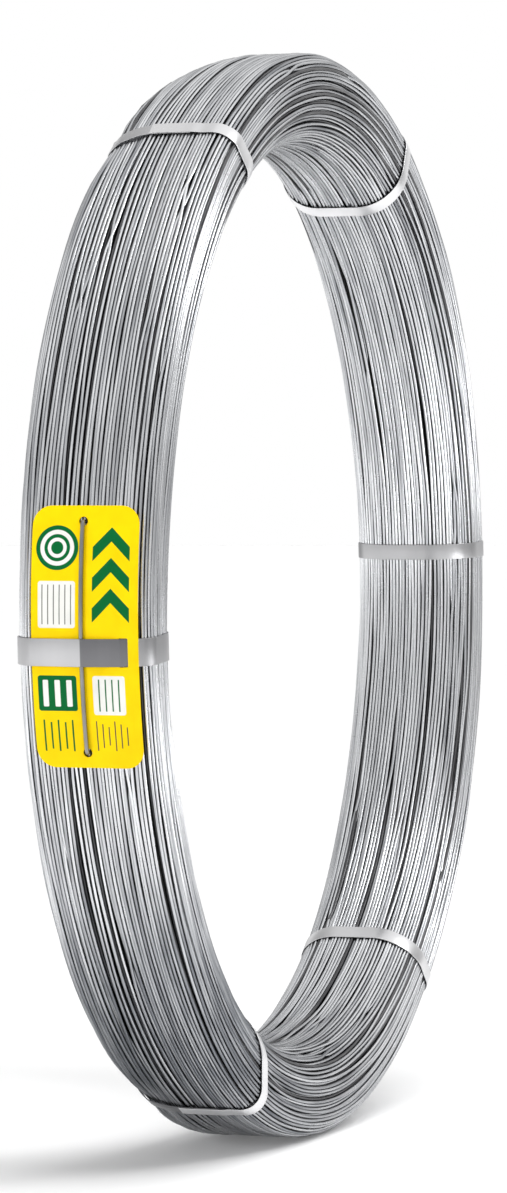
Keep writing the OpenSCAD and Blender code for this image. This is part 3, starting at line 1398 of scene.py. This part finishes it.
    def build_strand(self, tree: SweepTree, finish: Material) -> None:
        """Makes the strand that comes up through one hole, over the tag, and down the other.

        Args:
            tree: The tree that sweeps the oval wire.
            finish: The wire's material.
        """
        radius = self.out_r + self.strand_clear + self.strand_h / 2
        bend = self.strand_h / 2 + self.strand_inside_bend
        swing = (self.length / 2 - self.hole_inset) / self.out_r - bend / radius
        deep = self.outline.coil_r + self.strand_clear
        spoke = np.array([math.cos(swing), math.sin(swing)])
        run = np.linspace(0.0, swing, self.strand_steps)
        over_out = np.stack([np.cos(run), np.sin(run)], -1)
        turn = swing + np.linspace(0.0, math.pi / 2, self.strand_bend_steps)[1:]
        down_out = np.stack([np.cos(turn), np.sin(turn)], -1)
        down = (radius - bend) * spoke + bend * down_out
        foot = down[-1] - (radius - bend - deep) * spoke
        half = np.concatenate([radius * over_out, down, foot[None]])
        half_out = np.concatenate([over_out, down_out, down_out[-1:]])
        mirror = np.array([1.0, -1.0])
        cos_a, sin_a = math.cos(self.angle), math.sin(self.angle)
        turned = np.array([[cos_a, sin_a], [-sin_a, cos_a]])
        path, facing = (np.concatenate([side[:0:-1] * mirror, side]) @ turned for side in (half, half_out))
        spots = np.stack([path[:, 0], np.full(len(path), -self.strand_z), path[:, 1]], -1)
        outward = np.stack([facing[:, 0], np.zeros(len(path)), facing[:, 1]], -1)
        along = np.linspace(0.0, self.length, len(path))
        line = Line(spots, outward, np.full(len(path), self.strand_tone), along)
        piece = tree.sweep("tag_wire", line, (self.strand_w, self.strand_h), self.strand_sides, finish)
        dress(piece, "tag_strand")

    def build_wide_strap(self, tree: SweepTree, finish: Material, angle: float) -> None:
        """Makes the wide strap, over the tag and its strand and down through the slot.

        Args:
            tree: The tree that sweeps a flat strip.
            finish: The strapping's material.
            angle: The strap's angle.
        """
        straps = self.strapping
        girth = self.outline.girth
        start = girth / 2 + self.outline.outer_leg / 2 + Outline.OUTER_ROUND
        run = np.arange(0.0, girth + straps.lap, straps.step / 2)
        place, _ = self.outline.at(start + run, 0.0)
        radius, height = place[:, 0], place[:, 1]
        low = self.middle_z - self.width / 2
        over_tag = self.clear + self.thick + straps.gap
        over_strand = over_tag + self.strand_clear + self.strand_h
        slot_low = self.slot_high - self.slot_l
        ridge = self.strand_w / 3
        marks = [low - self.run_up, low - self.edge_clear, self.strand_z - ridge, self.strand_z + ridge,
                 slot_low + self.edge_clear, self.slot_high - self.slot_clear]
        lifts = [straps.gap, over_tag, over_strand, over_strand, over_tag, straps.gap]
        outer = radius > 0.5 * (self.outline.bore_r + self.outline.coil_r)
        lift = np.where(outer, np.interp(height, marks, lifts), straps.gap) + straps.lap_lift(run)
        # Painted reflection: a darker tone past the strand and past the slot.
        tone = np.where(outer & (height > self.strand_z), self.past_strand_shade_tone, self.wide_shade_tone)
        tone = np.where(height > self.slot_high, self.past_slot_shade_tone, tone)
        line = straps.strip(start + run, lift, angle, tone)
        section = (WIDE_STRAP_W, straps.thick)
        piece = tree.sweep("wide_strap_strip", line, section, STRAP_EDGE_POINTS, finish)
        dress(piece, WIDE_STRAP)


# Studio


@dataclass(frozen=True)
class SoftBox:
    """A square lamp, and whether bright metal shows it."""

    name: str
    place: Place
    size: float
    power: float
    mirrored: bool
    aim: Place = (0.0, 0.0, 0.0)


@dataclass(frozen=True)
class Studio:
    """The floor, the light and the camera.

    Each part of the room has its grey level, and spans of a direction's share between which it fades in.
    """

    azimuth: float = math.radians(-71.12)
    elevation: float = math.radians(1.25)
    distance: float = 3.1416
    focal_px: float = 5116.0
    centre_px: Pair = (272.47, 595.30)
    sensor: float = 24.0
    floor_reach: float = 30.0
    floor_right: float = 2.0
    floor_gap: float = 0.2 * MM
    floor_level: float = 0.85
    floor_rough: float = 0.9
    floor_glow: float = 0.1
    room_levels: Pair = (0.85, 1.0)
    room_rise: Pair = (0.05, 0.55)
    camera_level: float = 0.62
    camera_span: Pair = (0.72, 0.93)
    right_level: float = 0.42
    right_span: Pair = (0.6, 0.85)
    right_top: Pair = (0.45, 0.3)
    far_level: float = 0.45
    far_span: Pair = (0.1, 0.7)
    far_rise: Pair = (0.1, 0.5)
    scattered_cut: float = 0.45
    backdrop_span: Pair = (-0.8, -0.92)
    boxes: tuple[SoftBox, ...] = (
        SoftBox("key", (0.44, -1.69, 1.32), size=0.65, power=11.0, mirrored=True),
        SoftBox("fill", (-2.0, 1.4, 0.3), size=1.0, power=20.0, mirrored=False),
        SoftBox("low", (0.1, -1.1, -0.32), size=0.5, power=5.5, mirrored=True, aim=(0.1, -1.09, 1.0)),
    )
    overhead_place: Place = (-0.3, -0.7, 1.9)
    overhead_power: float = 2.05
    overhead_angle: float = math.radians(45.0)

    def directions(self) -> tuple[Vector, Vector, Vector]:
        """Works out the camera's right, up and backward directions.

        Returns:
            The three directions.
        """
        sin_a, cos_a = math.sin(self.azimuth), math.cos(self.azimuth)
        sin_e, cos_e = math.sin(self.elevation), math.cos(self.elevation)
        back = Vector((sin_a * cos_e, -cos_a * cos_e, sin_e))
        right = Vector((cos_a, sin_a, 0.0))
        return right, back.cross(right), back

    def build_camera(self) -> None:
        """Sets the camera at the photograph's place."""
        right, up, back = self.directions()
        aim_right = (PHOTO_W / 2 - self.centre_px[0]) / self.focal_px * self.distance
        aim_up = (self.centre_px[1] - PHOTO_H / 2) / self.focal_px * self.distance
        data = bpy.data.cameras.new("camera")
        data.sensor_fit = "VERTICAL"
        data.sensor_height = self.sensor
        data.lens = self.focal_px * self.sensor / PHOTO_H
        camera = new_object("camera", data)
        point_at(camera, back * self.distance, right * aim_right + up * aim_up)
        bpy.context.scene.camera = camera

    def build_floor(self, level: float) -> None:
        """Lays a pale floor that keeps the coil's shadow.

        Args:
            level: Height of the coil's lowest point.
        """
        material, build, shader = new_material("floor")
        shader.inputs["Base Color"].default_value = grey(self.floor_level)
        shader.inputs["Roughness"].default_value = self.floor_rough
        shader.inputs["Specular IOR Level"].default_value = 0.0
        ray = build.add("ShaderNodeLightPath").outputs
        seen = build.math("MAXIMUM", ray["Is Camera Ray"], build.mirrored_ray(ray))
        shader.inputs["Emission Color"].default_value = grey(1.0)
        build.feed(shader.inputs["Emission Strength"], build.math("MULTIPLY", seen, self.floor_glow))
        mesh = bpy.data.meshes.new("floor")
        right, _, back = self.directions()
        depth = Vector((back.x, back.y, 0.0)).normalized() * self.floor_reach
        left, right = right * -self.floor_reach, right * self.floor_right
        height = level - self.floor_gap
        corners = (left + depth, right + depth, right - depth, left - depth)
        mesh.from_pydata([(corner.x, corner.y, height) for corner in corners], [], [(0, 1, 2, 3)])
        mesh.materials.append(material)
        new_object("floor", mesh)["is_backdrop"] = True

    def build_world(self) -> None:
        """Lights the studio: white behind the coil, and dimmer behind the camera and at the sides."""
        world = bpy.data.worlds.new("studio")
        bpy.context.scene.world = world
        world.use_nodes = True
        build = NodeBuilder(world.node_tree)
        ray = build.add("ShaderNodeLightPath").outputs
        toward = build.add("ShaderNodeTexCoord").outputs["Generated"]
        right, _, back = self.directions()
        facing, beside = (build.vector("DOT_PRODUCT", toward, tuple(way)) for way in (back, right))
        _, across, height = build.add("ShaderNodeSeparateXYZ", {0: toward}).outputs
        low, high = self.room_levels
        room = build.mix(build.remap(height, self.room_rise), grey(low), grey(high))
        room = build.mix(build.remap(facing, self.camera_span), room, grey(self.camera_level))
        wall = build.remap(beside, self.right_span)
        wall = build.math("MULTIPLY", wall, build.remap(height, self.right_top))
        room = build.mix(wall, room, grey(self.right_level))
        far = build.math("MULTIPLY", build.remap(across, self.far_span), build.remap(height, self.far_rise))
        room = build.mix(far, room, grey(self.far_level))
        scattered = build.math("MULTIPLY", ray["Is Diffuse Ray"], self.scattered_cut)
        room = build.mix(scattered, room, grey(0.0))
        backdrop = build.math("MULTIPLY", build.mirrored_ray(ray), build.remap(facing, self.backdrop_span))
        white = build.math("MAXIMUM", ray["Is Camera Ray"], backdrop)
        build.feed(world.node_tree.nodes["Background"].inputs["Color"], build.mix(white, room, grey(1.0)))

    def build_lamps(self) -> None:
        """Hangs the soft boxes and the overhead light."""
        for box in self.boxes:
            data = bpy.data.lights.new(box.name, "AREA")
            data.size = box.size
            data.energy = box.power
            lamp = new_object(box.name, data)
            lamp.visible_glossy = box.mirrored
            point_at(lamp, Vector(box.place), Vector(box.aim))
        data = bpy.data.lights.new("overhead", "SUN")
        data.energy = self.overhead_power
        data.angle = self.overhead_angle
        lamp = new_object("overhead", data)
        lamp.visible_glossy = False
        point_at(lamp, Vector(self.overhead_place), Vector())


def box_angle(node: str) -> float:
    """Finds a node's angle about the coil's axis from the middle of its box."""
    low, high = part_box(node)
    return math.atan2(low[2] + high[2], low[0] + high[0])


def main() -> None:
    """Builds and dresses every piece, then the studio round them."""
    logging.basicConfig(level=logging.INFO, format="%(name)s: %(message)s")
    bpy.context.scene.view_settings.view_transform = "Standard"
    bore_r = frame["record"]["mounts"][0]["dims"]["r_mm"] * MM
    _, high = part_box(COIL)
    outline = Outline(bore_r, float(high[0]), float(high[1]))
    angles = {node: box_angle(node) for node in (*PLAIN_STRAPS, WIDE_STRAP)}

    skin = ZincSkin().group()
    wire, second_lay_shade, deep, steel, strand = (
        finish.material(skin) for finish in (ZINC_WIRE, PAINTED_SHADE_WIRE, DEEP_SHADE_WIRE, STRAP_STEEL, STRAND_WIRE)
    )
    printed = TagFinish().material()
    oval = SweepTree("oval_wire_sweep", flat=False)
    strip = SweepTree("strap_sweep", flat=True)

    dents = [
        Dent(angles["strap_1"], reach=math.radians(6.0), depth=5.0 * MM),
        Dent(math.radians(92.0), reach=math.radians(24.0), depth=11.0 * MM),
        Dent(angles["strap_5"], reach=math.radians(6.0), depth=4.4 * MM),
    ]
    bundle = WireBundle(outline, list(angles.values()), dents)
    # The lower lays and the packed turns get darker copies of the zinc, as painted shade.
    bundle.build(oval, {Region.SURFACE: wire, Region.SECOND: second_lay_shade, Region.THIRD: deep})

    strapping = Strapping(outline)
    strapping.build(strip, steel, angles)

    tag = Tag.from_frame(outline, strapping)
    tag.build_plate(printed, angles[WIDE_STRAP] % FULL_TURN)
    tag.build_strand(oval, strand)
    tag.build_wide_strap(strip, steel, angles[WIDE_STRAP])

    studio = Studio()
    studio.build_camera()
    studio.build_floor(float(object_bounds()[0][2]))
    studio.build_world()
    studio.build_lamps()


if __name__ == "__main__":
    main()
